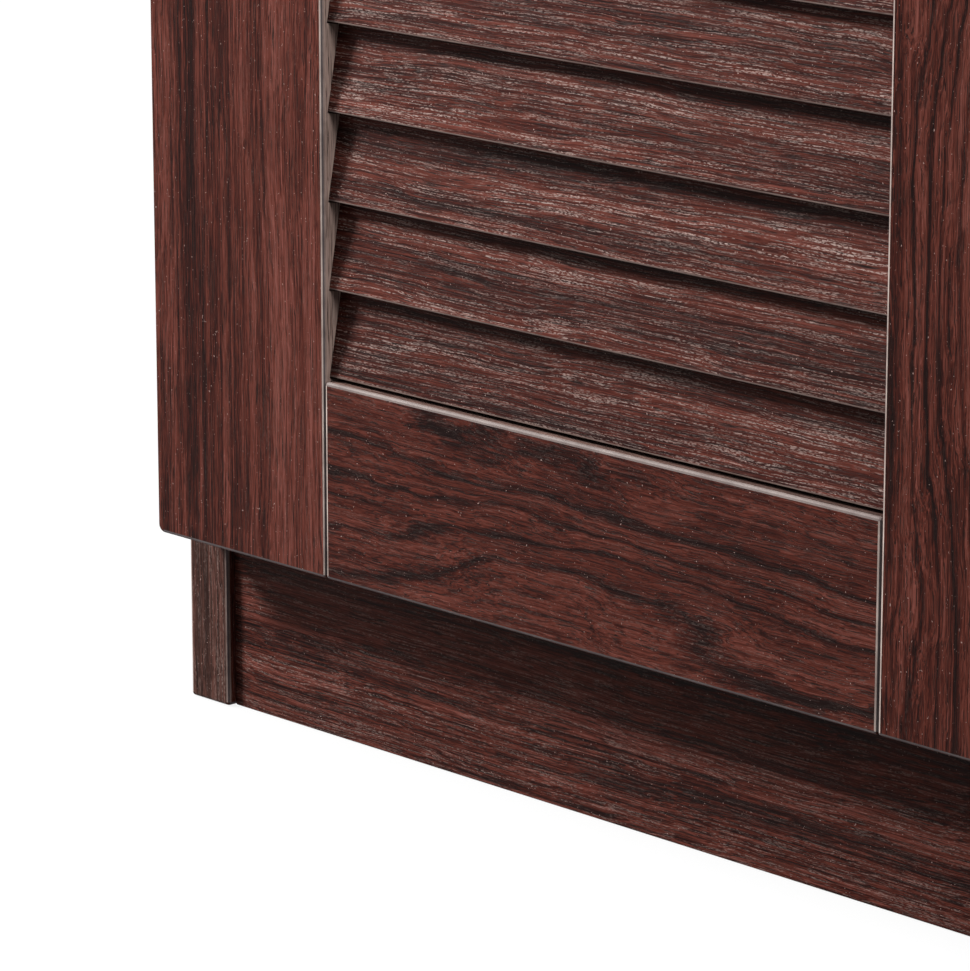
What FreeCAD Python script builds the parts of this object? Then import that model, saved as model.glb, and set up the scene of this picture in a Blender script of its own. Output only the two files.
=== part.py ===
"""Two-door louvred shoe cabinet, in millimetres.

X runs to the viewer's right, Y from the front to the back, Z up.
The origin is the middle of the footprint, knobs included, on the floor.
The left door and its fittings are built first and mirrored for the right.
"""
import FreeCAD, Part
import math
import os

os.makedirs("parts", exist_ok=True)

# Driving sizes of the carcass
cabinet_width = 780.0
cabinet_height = 902.0
side_depth = 330.0
board = 18.0
top_side_overhang = 5.5
top_front_overhang = 4.0
plinth_height = 58.0
toe_kick_recess = 3.0
toe_kick_thickness = 16.0
rear_rail_inset = 30.0
back_thickness = 3.0
back_margin = 2.0
shelf_count = 4
shelf_thickness = 16.0
shelf_front_setback = 12.0
shelf_back_gap = 1.0
shelf_end_gap = 1.0

# Driving sizes of the doors
door_thickness = 15.0
door_gap = 2.5
door_side_reveal = 5.5
door_meeting_gap = 3.0
door_top_gap = 3.0
stile_width = 78.0
rail_height = 61.0
slat_pitch_wanted = 26.6
slat_thickness = 4.2
slat_height = 30.3
slat_tilt_deg = 10.5
slat_setback = 2.4
slat_bottom_gap = 1.2
slat_top_gap = 1.5
slat_tenon = 6.0
mortise_clearance = 0.15
mortise_foot_clearance = 0.5

# Fasteners and fittings
fit = 0.05
dowel_radius = 4.0
dowel_in_face = 11.0
dowel_in_edge = 20.0
dowel_end_gap = 0.5
dowel_from_end = 95.0
rail_dowel_radius = 3.0
rail_dowel_half = 14.0
rail_dowel_from_edge = 16.0
cam_radius = 7.5
cam_depth = 12.5
cam_from_end = 34.0
cam_from_face_end = 80.0
cam_bolt_radius = 3.0
cam_bolt_in_face = 11.0
pin_radius = 2.5
pin_in_side = 8.0
pin_out = 9.0
pin_collar_radius = 4.5
pin_collar_thickness = 1.5
pin_from_face_end = 55.0
pin_row_step = 32.0
nail_radius = 0.8
nail_length = 20.0
nail_head_radius = 2.0
nail_head_height = 0.8
nail_edge = 60.0
side_nail_count = 7
cross_nail_count = 4

# Concealed hinges
cup_radius = 17.45
cup_wall = 0.75
cup_depth = 12.0
cup_bore_depth = 12.5
cup_from_edge = 20.5
cup_flange = 1.2
cup_flange_half_height = 27.0
cup_flange_inner = 12.0
cup_screw_half_spacing = 22.5
cup_screw_offset = 6.0
cup_screw_radius = 1.6
cup_screw_length = 9.0
cup_screw_head_radius = 3.0
cup_screw_head_height = 0.8
hinge_pin_from_edge = 6.3
hinge_pin_from_back = 8.5
hinge_pin_radius = 0.9
hinge_pin_half = 5.6
barrel_radius = 1.8
barrel_half = 3.0
lug_gap = 0.3
lug_reach = 2.0
plate_thickness = 3.0
plate_start = 25.0
plate_length = 42.0
plate_half_height = 22.0
plate_screw_half_spacing = 16.0
plate_screw_radius = 1.75
plate_screw_length = 13.0
plate_screw_head_radius = 3.8
plate_screw_head_height = 1.5
arm_thickness = 2.0
arm_half_height = 5.5
arm_end_margin = 4.0
arm_screw_radius = 2.0
arm_screw_head_radius = 3.6
arm_screw_head_height = 2.0

# Knobs and catches
knob_radius = 14.0
knob_projection = 24.0
knob_neck_radius = 6.5
knob_neck_length = 9.0
knob_round = 5.0
knob_screw_radius = 2.0
knob_screw_in = 11.0
knob_screw_head_radius = 4.0
knob_screw_head_height = 1.8
catch_length = 40.0
catch_height = 14.0
catch_depth = 16.0
catch_from_middle = 14.0
magnet_length = 22.0
magnet_height = 7.0
magnet_depth = 10.0
magnet_proud = 1.0
strike_thickness = 1.2
strike_length = 30.0
strike_height = 11.0
strike_drop = 9.0
catch_screw_radius = 1.5
catch_screw_length = 22.0
catch_screw_head_radius = 2.8
catch_screw_head_height = 1.2
strike_screw_length = 8.0
strike_screw_head_height = 0.4
strike_screw_head_radius = 2.4

# Planes worked out from the driving sizes
overall_depth = (knob_projection + door_thickness + door_gap + side_depth
                 + back_thickness + nail_head_height)
front_y = -overall_depth / 2
door_front_y = front_y + knob_projection
door_back_y = door_front_y + door_thickness
carcass_front_y = door_back_y + door_gap
carcass_rear_y = carcass_front_y + side_depth
back_rear_y = carcass_rear_y + back_thickness
half_width = cabinet_width / 2 - top_side_overhang
inner_half = half_width - board
top_under_z = cabinet_height - board
bottom_top_z = plinth_height + board
door_top_z = top_under_z - door_top_gap
door_outer_x = -half_width + door_side_reveal
door_inner_x = -door_meeting_gap / 2
door_height = door_top_z - plinth_height
opening_left_x = door_outer_x + stile_width
opening_right_x = door_inner_x - stile_width
rail_top_z = plinth_height + rail_height
top_rail_z = door_top_z - rail_height
slat_rise = slat_height * math.cos(math.radians(slat_tilt_deg))
slat_run = top_rail_z - rail_top_z - slat_bottom_gap - slat_rise - slat_top_gap
slat_count = round(slat_run / slat_pitch_wanted) + 1
slat_pitch = slat_run / (slat_count - 1)
shelf_space = (top_under_z - bottom_top_z - shelf_count * shelf_thickness) / (shelf_count + 1)
hinge_heights = [bottom_top_z + shelf_space / 2, top_under_z - shelf_space / 2]
hinge_pin_x = door_outer_x + hinge_pin_from_edge
hinge_pin_y = door_back_y - hinge_pin_from_back
fixing_rows_y = [carcass_front_y + dowel_from_end,
                 carcass_front_y + side_depth / 2,
                 carcass_rear_y - dowel_from_end]
cam_rows_y = [carcass_front_y + cam_from_face_end, carcass_rear_y - cam_from_face_end]

X = FreeCAD.Vector(1, 0, 0)
Y = FreeCAD.Vector(0, 1, 0)
Z = FreeCAD.Vector(0, 0, 1)


def box(x, y, z):
    """A box from three (low, high) pairs."""
    corner = FreeCAD.Vector(x[0], y[0], z[0])
    return Part.makeBox(x[1] - x[0], y[1] - y[0], z[1] - z[0], corner)


def rod(start, direction, radius, length):
    return Part.makeCylinder(radius, length, FreeCAD.Vector(*start), direction)


def mirrored(shape):
    return shape.mirror(FreeCAD.Vector(0, 0, 0), X)


def both_sides(shapes):
    """The given left-hand solids and their right-hand twins."""
    return shapes + [mirrored(shape) for shape in shapes]


def save(node, solids):
    shape = solids[0] if len(solids) == 1 else Part.makeCompound(solids)
    shape.exportStep("parts/" + node + ".step")


def cut(shape, tools):
    return shape.cut(tools) if tools else shape


# ---- Fixings that join the carcass -------------------------------------------

def top_dowel_solids(extra_radius, extra_end):
    """Dowels standing in the left side panel's top edge."""
    x = -half_width + board / 2
    low = top_under_z - dowel_in_edge - extra_end
    high = top_under_z + dowel_in_face + extra_end
    return [rod((x, y, low), Z, dowel_radius + extra_radius, high - low) for y in fixing_rows_y]


def floor_dowel_solids(extra_radius, extra_end):
    """Dowels lying between the left side panel and the bottom panel's end."""
    z = plinth_height + board / 2
    low = -inner_half - dowel_in_face - extra_end
    high = -inner_half + dowel_in_edge + extra_end
    return [rod((low, y, z), X, dowel_radius + extra_radius, high - low) for y in fixing_rows_y]


def plinth_dowel_solids(extra_radius, extra_end):
    """Two dowels at the left end of each plinth board."""
    low = -inner_half - dowel_in_face - extra_end
    high = -inner_half + dowel_in_edge + extra_end
    rows = [(front_plinth[0] + front_plinth[1]) / 2, (rear_plinth[0] + rear_plinth[1]) / 2]
    heights = [plinth_height * 0.3, plinth_height * 0.7]
    return [rod((low, y, z), X, dowel_radius + extra_radius, high - low)
            for y in rows for z in heights]


def top_cam_solids(extra):
    """Cams let into the left side panel's inner face, below the top panel."""
    z = top_under_z - cam_from_end
    start = -inner_half - cam_depth - extra
    return [rod((start, y, z), X, cam_radius + extra, cam_depth + extra) for y in cam_rows_y]


def floor_cam_solids(extra):
    """Cams let into the bottom panel's underside at its left end."""
    x = -inner_half + cam_from_end
    return [rod((x, y, plinth_height), Z, cam_radius + extra, cam_depth + extra)
            for y in cam_rows_y]


def top_bolt_solids(extra):
    """Bolts from the top panel down into the cams of the left side panel."""
    x = -half_width + board / 2
    low = top_under_z - cam_from_end
    high = top_under_z + cam_bolt_in_face + extra
    return [rod((x, y, low), Z, cam_bolt_radius + extra, high - low) for y in cam_rows_y]


def floor_bolt_solids(extra):
    """Bolts from the left side panel into the cams of the bottom panel."""
    z = plinth_height + board / 2
    low = -inner_half - cam_bolt_in_face - extra
    high = -inner_half + cam_from_end
    return [rod((low, y, z), X, cam_bolt_radius + extra, high - low) for y in cam_rows_y]


# ---- Shelf supports ------------------------------------------------------------

shelf_undersides = [bottom_top_z + (i + 1) * shelf_space + i * shelf_thickness
                    for i in range(shelf_count)]
shelf_depth_range = (carcass_front_y + shelf_front_setback, carcass_rear_y - shelf_back_gap)
pin_rows_y = [shelf_depth_range[0] + pin_from_face_end, shelf_depth_range[1] - pin_from_face_end]


def shelf_pin(y, underside):
    """A support peg in the left side panel, its top against the shelf."""
    z = underside - pin_radius
    peg = rod((-inner_half - pin_in_side, y, z), X, pin_radius, pin_in_side + pin_out)
    collar = rod((-inner_half, y, z), X, pin_collar_radius, pin_collar_thickness)
    head_room = box((-inner_half - 1, -inner_half + pin_out),
                    (y - pin_collar_radius - 1, y + pin_collar_radius + 1),
                    (underside, underside + pin_collar_radius + 1))
    return peg.fuse(collar).cut(head_room).removeSplitter()


def shelf_pin_holes():
    """Three holes in a row for each support, so each shelf can be moved."""
    depth = pin_in_side + fit
    holes = []
    for underside in shelf_undersides:
        for y in pin_rows_y:
            for step in (-1, 0, 1):
                z = underside - pin_radius + step * pin_row_step
                holes.append(rod((-inner_half - depth, y, z), X, pin_radius + fit, depth))
    return holes


# ---- Back panel and its nails ----------------------------------------------------

back_z = (plinth_height + back_margin, cabinet_height - back_margin)
back_half = half_width - back_margin


def spread(low, high, count):
    return [low + (high - low) * i / (count - 1) for i in range(count)]


def nail_places():
    """(x, z) of every nail: down both sides, along the bottom and the top."""
    side_x = half_width - board / 2
    side_z = spread(back_z[0] + nail_edge, back_z[1] - nail_edge, side_nail_count)
    cross_x = spread(-half_width + 2 * nail_edge, half_width - 2 * nail_edge, cross_nail_count)
    places = [(x, z) for x in (-side_x, side_x) for z in side_z]
    for z in (plinth_height + board / 2, cabinet_height - board / 2):
        places += [(x, z) for x in cross_x]
    return places


def nail(x, z, extra):
    shank = rod((x, back_rear_y - nail_length, z), Y, nail_radius + extra, nail_length)
    if extra:
        return shank
    return shank.fuse(rod((x, back_rear_y, z), Y, nail_head_radius, nail_head_height))


nail_holes = [nail(x, z, fit) for x, z in nail_places()]

# ---- Hinge hardware for the left door ------------------------------------------

arm_low_x = -inner_half + plate_thickness
plate_y = (carcass_front_y + plate_start, carcass_front_y + plate_start + plate_length)
plate_mid_y = (plate_y[0] + plate_y[1]) / 2


def hinge_plate(z):
    """A mounting plate screwed to the side panel's inner face."""
    plate = box((-inner_half, arm_low_x), plate_y, (z - plate_half_height, z + plate_half_height))
    return cut(plate, plate_screw_holes(z) + [arm_screw_hole(z)])


def plate_screw(z_screw, extra):
    start = (arm_low_x - plate_screw_length, plate_mid_y, z_screw)
    shank = rod(start, X, plate_screw_radius + extra, plate_screw_length)
    if extra:
        return shank
    head_start = (arm_low_x, plate_mid_y, z_screw)
    return shank.fuse(rod(head_start, X, plate_screw_head_radius, plate_screw_head_height))


def plate_screw_heights(z):
    return [z - plate_screw_half_spacing, z + plate_screw_half_spacing]


def plate_screw_holes(z):
    return [plate_screw(h, fit) for h in plate_screw_heights(z)]


def arm_screw(z):
    shank_length = plate_thickness + arm_thickness
    shank = rod((-inner_half, plate_mid_y, z), X, arm_screw_radius, shank_length)
    head_start = (arm_low_x + arm_thickness, plate_mid_y, z)
    return shank.fuse(rod(head_start, X, arm_screw_head_radius, arm_screw_head_height))


def arm_screw_hole(z):
    length = plate_thickness + arm_thickness
    return rod((-inner_half, plate_mid_y, z), X, arm_screw_radius + fit, length)


def hinge_arm(z):
    """The fixed arm: a barrel on the pin, a strip inwards, a leg to the plate."""
    barrel = rod((hinge_pin_x, hinge_pin_y, z - barrel_half), Z, barrel_radius, 2 * barrel_half)
    half_strip = arm_thickness / 2
    strip = box((hinge_pin_x, arm_low_x + arm_thickness),
                (hinge_pin_y - half_strip, hinge_pin_y + half_strip),
                (z - barrel_half, z + barrel_half))
    leg = box((arm_low_x, arm_low_x + arm_thickness),
              (hinge_pin_y - half_strip, plate_y[1] - arm_end_margin),
              (z - arm_half_height, z + arm_half_height))
    bore = rod((hinge_pin_x, hinge_pin_y, z - barrel_half), Z, hinge_pin_radius + fit,
               2 * barrel_half)
    return barrel.fuse([strip, leg]).cut([bore, arm_screw_hole(z)]).removeSplitter()


def cup_axis_start(offset):
    """A point on the cup's axis, offset backwards from the door's back face."""
    return (door_outer_x + cup_from_edge, door_back_y + offset)


def hinge_cup(z):
    """A cup with a flange, and two lugs that hold the pin."""
    x, y = cup_axis_start(-cup_depth)
    inside_radius = cup_radius - cup_wall
    body = rod((x, y, z), Y, cup_radius, cup_depth)
    hollow = rod((x, y + cup_wall, z), Y, inside_radius, cup_depth + cup_flange)
    flange = box((x - cup_flange_inner / 2, x + cup_flange_inner),
                 (door_back_y, door_back_y + cup_flange),
                 (z - cup_flange_half_height, z + cup_flange_half_height))
    shell = body.fuse(flange).cut(hollow)
    lugs = []
    for side in (-1, 1):
        near = z + side * (barrel_half + lug_gap)
        far = z + side * hinge_pin_half
        lug = box((x - cup_radius, hinge_pin_x + lug_reach),
                  (hinge_pin_y - lug_reach, hinge_pin_y + lug_reach),
                  (min(near, far), max(near, far)))
        lugs.append(lug.common(body))
    pin_hole = rod((hinge_pin_x, hinge_pin_y, z - cup_radius), Z, hinge_pin_radius + fit,
                   2 * cup_radius)
    pin_hole = pin_hole.common(rod((x, y, z), Y, inside_radius, cup_depth))
    return shell.fuse(lugs).cut([pin_hole] + cup_screw_holes(z)).removeSplitter()


def hinge_pin(z):
    return rod((hinge_pin_x, hinge_pin_y, z - hinge_pin_half), Z, hinge_pin_radius,
               2 * hinge_pin_half)


def cup_screw(z_screw, extra):
    x = door_outer_x + cup_from_edge + cup_screw_offset
    seat_y = door_back_y + cup_flange
    shank = rod((x, seat_y - cup_screw_length, z_screw), Y, cup_screw_radius + extra,
                cup_screw_length)
    if extra:
        return shank
    return shank.fuse(rod((x, seat_y, z_screw), Y, cup_screw_head_radius, cup_screw_head_height))


def cup_screw_heights(z):
    return [z - cup_screw_half_spacing, z + cup_screw_half_spacing]


def cup_screw_holes(z):
    return [cup_screw(h, fit) for h in cup_screw_heights(z)]


def cup_bores():
    x, y = cup_axis_start(-cup_bore_depth)
    return [rod((x, y, z), Y, cup_radius + fit, cup_bore_depth) for z in hinge_heights]


# ---- Left door --------------------------------------------------------------------

door_y = (door_front_y, door_back_y)
door_z = (plinth_height, door_top_z)


def slat_bottoms():
    first = rail_top_z + slat_bottom_gap
    return [first + i * slat_pitch for i in range(slat_count)]


def tilted_slat(x, z, grow, foot):
    """One slat with its bottom front edge at the set-back; its top leans back."""
    blank = box(x, (-grow, slat_thickness + grow), (-foot, slat_height + grow))
    blank.rotate(FreeCAD.Vector(0, 0, 0), X, -slat_tilt_deg)
    blank.translate(FreeCAD.Vector(0, door_front_y + slat_setback, z))
    return blank


def slat_mortises(x):
    return [tilted_slat(x, z, mortise_clearance, mortise_foot_clearance) for z in slat_bottoms()]


def rail_dowel_places():
    """(x of the joint, z) of the dowels between the rails and the stiles."""
    heights = []
    for low in (plinth_height, top_rail_z):
        heights += [low + rail_dowel_from_edge, low + rail_height - rail_dowel_from_edge]
    return [(x, z) for x in (opening_left_x, opening_right_x) for z in heights]


def rail_dowels(extra_radius, extra_end):
    y = (door_front_y + door_back_y) / 2
    half = rail_dowel_half + extra_end
    return [rod((x - half, y, z), X, rail_dowel_radius + extra_radius, 2 * half)
            for x, z in rail_dowel_places()]


knob_x = door_inner_x - stile_width / 2
knob_z = plinth_height + door_height / 2


def knob():
    """A turned round knob: a waisted neck and a domed head."""
    head_back = knob_neck_length
    front = knob_projection
    shoulder = knob_radius - knob_round
    bend = knob_round * (1 - math.sqrt(0.5))
    outline = [
        Part.LineSegment(FreeCAD.Vector(0, 0, 0), FreeCAD.Vector(knob_neck_radius, 0, 0)),
        Part.LineSegment(FreeCAD.Vector(knob_neck_radius, 0, 0),
                         FreeCAD.Vector(knob_neck_radius, head_back, 0)),
        Part.LineSegment(FreeCAD.Vector(knob_neck_radius, head_back, 0),
                         FreeCAD.Vector(shoulder, head_back, 0)),
        Part.Arc(FreeCAD.Vector(shoulder, head_back, 0),
                 FreeCAD.Vector(knob_radius - bend, head_back + bend, 0),
                 FreeCAD.Vector(knob_radius, head_back + knob_round, 0)),
        Part.LineSegment(FreeCAD.Vector(knob_radius, head_back + knob_round, 0),
                         FreeCAD.Vector(knob_radius, front - knob_round, 0)),
        Part.Arc(FreeCAD.Vector(knob_radius, front - knob_round, 0),
                 FreeCAD.Vector(knob_radius - bend, front - bend, 0),
                 FreeCAD.Vector(shoulder, front, 0)),
        Part.LineSegment(FreeCAD.Vector(shoulder, front, 0), FreeCAD.Vector(0, front, 0)),
        Part.LineSegment(FreeCAD.Vector(0, front, 0), FreeCAD.Vector(0, 0, 0)),
    ]
    face = Part.Face(Part.Wire([curve.toShape() for curve in outline]))
    solid = face.revolve(FreeCAD.Vector(0, 0, 0), Y, 360)
    solid.rotate(FreeCAD.Vector(0, 0, 0), Z, 180)
    solid.translate(FreeCAD.Vector(knob_x, door_front_y, knob_z))
    return solid.cut(knob_screw_hole())


def knob_screw():
    start = (knob_x, door_front_y - knob_screw_in, knob_z)
    shank = rod(start, Y, knob_screw_radius, knob_screw_in + door_thickness)
    head_start = (knob_x, door_back_y, knob_z)
    return shank.fuse(rod(head_start, Y, knob_screw_head_radius, knob_screw_head_height))


def knob_screw_hole():
    start = (knob_x, door_front_y - knob_screw_in - fit, knob_z)
    return rod(start, Y, knob_screw_radius + fit, knob_screw_in + fit + door_thickness)


# ---- Magnetic catches -------------------------------------------------------------

catch_x = (-catch_from_middle - catch_length, -catch_from_middle)
catch_mid_x = (catch_x[0] + catch_x[1]) / 2
catch_z = (top_under_z - catch_height, top_under_z)
catch_y = (carcass_front_y, carcass_front_y + catch_depth)
magnet_x = (catch_mid_x - magnet_length / 2, catch_mid_x + magnet_length / 2)
magnet_mid_z = top_under_z - strike_drop
magnet_z = (magnet_mid_z - magnet_height / 2, magnet_mid_z + magnet_height / 2)
magnet_y = (carcass_front_y - magnet_proud, carcass_front_y - magnet_proud + magnet_depth)
catch_screw_xs = [(catch_x[0] + magnet_x[0]) / 2, (catch_x[1] + magnet_x[1]) / 2]


def catch_screw(x, extra):
    y = (catch_y[0] + catch_y[1]) / 2
    shank = rod((x, y, catch_z[0]), Z, catch_screw_radius + extra, catch_screw_length)
    if extra:
        return shank
    head_start = (x, y, catch_z[0] - catch_screw_head_height)
    return shank.fuse(rod(head_start, Z, catch_screw_head_radius, catch_screw_head_height))


def catch_housing():
    shell = box(catch_x, catch_y, catch_z)
    pocket = box(magnet_x, (magnet_y[0], magnet_y[1]), magnet_z)
    return cut(shell, [pocket] + [catch_screw(x, fit) for x in catch_screw_xs])


def strike_plate():
    plate = box((catch_mid_x - strike_length / 2, catch_mid_x + strike_length / 2),
                (door_back_y, door_back_y + strike_thickness),
                (magnet_mid_z - strike_height / 2, magnet_mid_z + strike_height / 2))
    return cut(plate, [strike_screw_hole()])


def strike_screw():
    seat_y = door_back_y + strike_thickness
    start = (catch_mid_x, seat_y - strike_screw_length, magnet_mid_z)
    shank = rod(start, Y, catch_screw_radius, strike_screw_length)
    head_start = (catch_mid_x, seat_y - strike_screw_head_height, magnet_mid_z)
    return shank.fuse(rod(head_start, Y, strike_screw_head_radius, strike_screw_head_height))


def strike_screw_hole():
    seat_y = door_back_y + strike_thickness
    start = (catch_mid_x, seat_y - strike_screw_length, magnet_mid_z)
    shank = rod(start, Y, catch_screw_radius + fit, strike_screw_length)
    head_start = (catch_mid_x, seat_y - strike_screw_head_height, magnet_mid_z)
    head = rod(head_start, Y, strike_screw_head_radius + fit, strike_screw_head_height)
    return shank.fuse(head)


# ---- Carcass -----------------------------------------------------------------------

front_plinth = (carcass_front_y + toe_kick_recess,
                carcass_front_y + toe_kick_recess + toe_kick_thickness)
rear_plinth = (carcass_rear_y - rear_rail_inset - toe_kick_thickness,
               carcass_rear_y - rear_rail_inset)
carcass_y = (carcass_front_y, carcass_rear_y)


def side_panel():
    panel = box((-half_width, -inner_half), carcass_y, (0, top_under_z))
    tools = top_dowel_solids(fit, dowel_end_gap) + floor_dowel_solids(fit, dowel_end_gap)
    tools += plinth_dowel_solids(fit, dowel_end_gap) + top_cam_solids(fit)
    tools += top_bolt_solids(fit) + floor_bolt_solids(fit)
    tools += shelf_pin_holes() + nail_holes
    for z in hinge_heights:
        tools += plate_screw_holes(z)
    return cut(panel, tools)


def top_panel():
    half_top = half_width + top_side_overhang
    panel = box((-half_top, half_top), (door_front_y - top_front_overhang, carcass_rear_y),
                (top_under_z, cabinet_height))
    tools = both_sides(top_dowel_solids(fit, dowel_end_gap) + top_bolt_solids(fit))
    tools += both_sides([catch_screw(x, fit) for x in catch_screw_xs]) + nail_holes
    return cut(panel, tools)


def bottom_panel():
    panel = box((-inner_half, inner_half), carcass_y, (plinth_height, bottom_top_z))
    tools = floor_dowel_solids(fit, dowel_end_gap) + floor_cam_solids(fit)
    tools += floor_bolt_solids(fit)
    return cut(panel, both_sides(tools) + nail_holes)


def plinth_board(depth_range):
    blank = box((-inner_half, inner_half), depth_range, (0, plinth_height))
    return cut(blank, both_sides(plinth_dowel_solids(fit, dowel_end_gap)))


def shelf(underside):
    half = inner_half - shelf_end_gap
    return box((-half, half), shelf_depth_range, (underside, underside + shelf_thickness))


side = side_panel()
save("side_panel_left", [side])
save("side_panel_right", [mirrored(side)])
save("top_panel", [top_panel()])
save("bottom_panel", [bottom_panel()])
save("toe_kick_board", [plinth_board(front_plinth)])
save("plinth_rail_rear", [plinth_board(rear_plinth)])
back_blank = box((-back_half, back_half), (carcass_rear_y, back_rear_y), back_z)
save("back_panel", [cut(back_blank, nail_holes)])
save("back_panel_nails", [nail(x, z, 0) for x, z in nail_places()])
for number, underside in enumerate(shelf_undersides, start=1):
    save("shelf_" + str(number), [shelf(underside)])
shelf_pins = [shelf_pin(y, underside) for underside in shelf_undersides for y in pin_rows_y]
save("shelf_pins", both_sides(shelf_pins))
carcass_dowels = top_dowel_solids(0, 0) + floor_dowel_solids(0, 0) + plinth_dowel_solids(0, 0)
save("carcass_dowels", both_sides(carcass_dowels))
bolt_paths = top_bolt_solids(fit) + floor_bolt_solids(fit)
cam_locks = [cam.cut(bolt_paths) for cam in top_cam_solids(0) + floor_cam_solids(0)]
save("cam_locks", both_sides(cam_locks))
save("cam_bolts", both_sides(top_bolt_solids(0) + floor_bolt_solids(0)))
save("hinge_plates", both_sides([hinge_plate(z) for z in hinge_heights]))
plate_screws = [plate_screw(h, 0) for z in hinge_heights for h in plate_screw_heights(z)]
save("hinge_plate_screws", both_sides(plate_screws))
save("hinge_arms", both_sides([hinge_arm(z) for z in hinge_heights]))
save("hinge_arm_screws", both_sides([arm_screw(z) for z in hinge_heights]))
save("catch_housings", both_sides([catch_housing()]))
save("catch_magnets", both_sides([box(magnet_x, magnet_y, magnet_z)]))
save("catch_screws", both_sides([catch_screw(x, 0) for x in catch_screw_xs]))

# ---- Doors -----------------------------------------------------------------------

outer_mortises = slat_mortises((opening_left_x - slat_tenon - mortise_clearance, opening_left_x))
inner_mortises = slat_mortises((opening_right_x, opening_right_x + slat_tenon + mortise_clearance))
dowel_holes = rail_dowels(fit, dowel_end_gap)
cup_holes = [hole for z in hinge_heights for hole in cup_screw_holes(z)]
outer_blank = box((door_outer_x, opening_left_x), door_y, door_z)
inner_blank = box((opening_right_x, door_inner_x), door_y, door_z)
rail_x = (opening_left_x, opening_right_x)
slat_x = (opening_left_x - slat_tenon, opening_right_x + slat_tenon)

left_door = {
    "stile_outer": [cut(outer_blank, outer_mortises + dowel_holes + cup_bores() + cup_holes)],
    "stile_inner": [cut(inner_blank, inner_mortises + dowel_holes
                        + [knob_screw_hole(), strike_screw_hole()])],
    "rail_bottom": [cut(box(rail_x, door_y, (plinth_height, rail_top_z)), dowel_holes)],
    "rail_top": [cut(box(rail_x, door_y, (top_rail_z, door_top_z)), dowel_holes)],
    "louvre_slats": [tilted_slat(slat_x, z, 0, 0) for z in slat_bottoms()],
    "rail_dowels": rail_dowels(0, 0),
    "hinge_cups": [hinge_cup(z) for z in hinge_heights],
    "hinge_cup_screws": [cup_screw(h, 0) for z in hinge_heights for h in cup_screw_heights(z)],
    "hinge_pins": [hinge_pin(z) for z in hinge_heights],
    "knob": [knob()],
    "knob_screw": [knob_screw()],
    "strike_plate": [strike_plate()],
    "strike_screw": [strike_screw()],
}
for name, solids in left_door.items():
    save("door_left_" + name, solids)
    save("door_right_" + name, [mirrored(solid) for solid in solids])

print("slats", slat_count, "pitch", round(slat_pitch, 3), "depth", overall_depth)
print("hinge pin", round(hinge_pin_x, 3), round(hinge_pin_y, 3), "shelf space", round(shelf_space, 3))
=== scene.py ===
import math

import bpy
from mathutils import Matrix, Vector


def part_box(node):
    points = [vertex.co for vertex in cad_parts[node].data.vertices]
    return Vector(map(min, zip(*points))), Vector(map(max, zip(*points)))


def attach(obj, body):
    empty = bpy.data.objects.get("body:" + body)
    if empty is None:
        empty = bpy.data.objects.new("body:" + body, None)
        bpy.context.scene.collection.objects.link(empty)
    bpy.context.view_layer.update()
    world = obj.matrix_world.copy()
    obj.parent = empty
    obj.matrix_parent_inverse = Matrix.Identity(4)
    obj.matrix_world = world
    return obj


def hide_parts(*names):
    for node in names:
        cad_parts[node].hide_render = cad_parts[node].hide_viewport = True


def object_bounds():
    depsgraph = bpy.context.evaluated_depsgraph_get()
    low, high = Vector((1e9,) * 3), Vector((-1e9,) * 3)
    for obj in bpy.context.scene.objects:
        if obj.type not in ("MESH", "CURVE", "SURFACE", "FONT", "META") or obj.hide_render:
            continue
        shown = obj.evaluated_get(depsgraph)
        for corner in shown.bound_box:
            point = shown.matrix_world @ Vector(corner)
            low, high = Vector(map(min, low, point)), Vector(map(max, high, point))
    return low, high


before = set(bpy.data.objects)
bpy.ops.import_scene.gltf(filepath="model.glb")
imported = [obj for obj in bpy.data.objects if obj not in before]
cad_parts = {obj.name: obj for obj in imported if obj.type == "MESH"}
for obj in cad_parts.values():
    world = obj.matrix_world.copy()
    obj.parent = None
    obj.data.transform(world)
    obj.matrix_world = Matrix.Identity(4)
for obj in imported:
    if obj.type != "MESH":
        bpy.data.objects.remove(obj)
cad_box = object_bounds()

# ---- Side panels ---------------------------------------------------------------
# Two 18 mm particle boards faced with dark rosewood-print melamine. They are sawn
# to size, edge-banded along the front, and run down to the floor. Their inner
# faces are drilled with rows of 5 mm holes for the shelf supports.

MM = 0.001


def linear(hex_colour):
    """An sRGB hex colour as linear RGBA."""
    channels = [int(hex_colour[i:i + 2], 16) / 255 for i in (1, 3, 5)]
    curve = [c / 12.92 if c <= 0.04045 else ((c + 0.055) / 1.055) ** 2.4 for c in channels]
    return (*curve, 1.0)


def add_node(tree, kind, inputs=None, **settings):
    """Adds one node. An input given as a socket is linked; anything else is its value."""
    made = tree.nodes.new(kind)
    for setting, value in settings.items():
        setattr(made, setting, value)
    for socket, value in (inputs or {}).items():
        if isinstance(value, bpy.types.NodeSocket):
            tree.links.new(value, made.inputs[socket])
        else:
            made.inputs[socket].default_value = value
    return made


def new_material(name):
    """An empty node material and its output node."""
    material = bpy.data.materials.new(name)
    material.use_nodes = True
    material.node_tree.nodes.clear()
    output = add_node(material.node_tree, "ShaderNodeOutputMaterial")
    return material, material.node_tree, output


def fill_ramp(ramp, stops):
    """Colour stops from (place, hex colour) pairs."""
    elements = ramp.color_ramp.elements
    while len(elements) < len(stops):
        elements.new(0.5)
    for element, (place, colour) in zip(elements, stops):
        element.position = place
        element.color = linear(colour)


rosewood_inks = [(0.12, "#130706"), (0.28, "#220d0a"), (0.42, "#361611"), (0.52, "#431e17"),
                 (0.64, "#522820"), (0.80, "#60332b"), (0.97, "#704038")]


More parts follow.
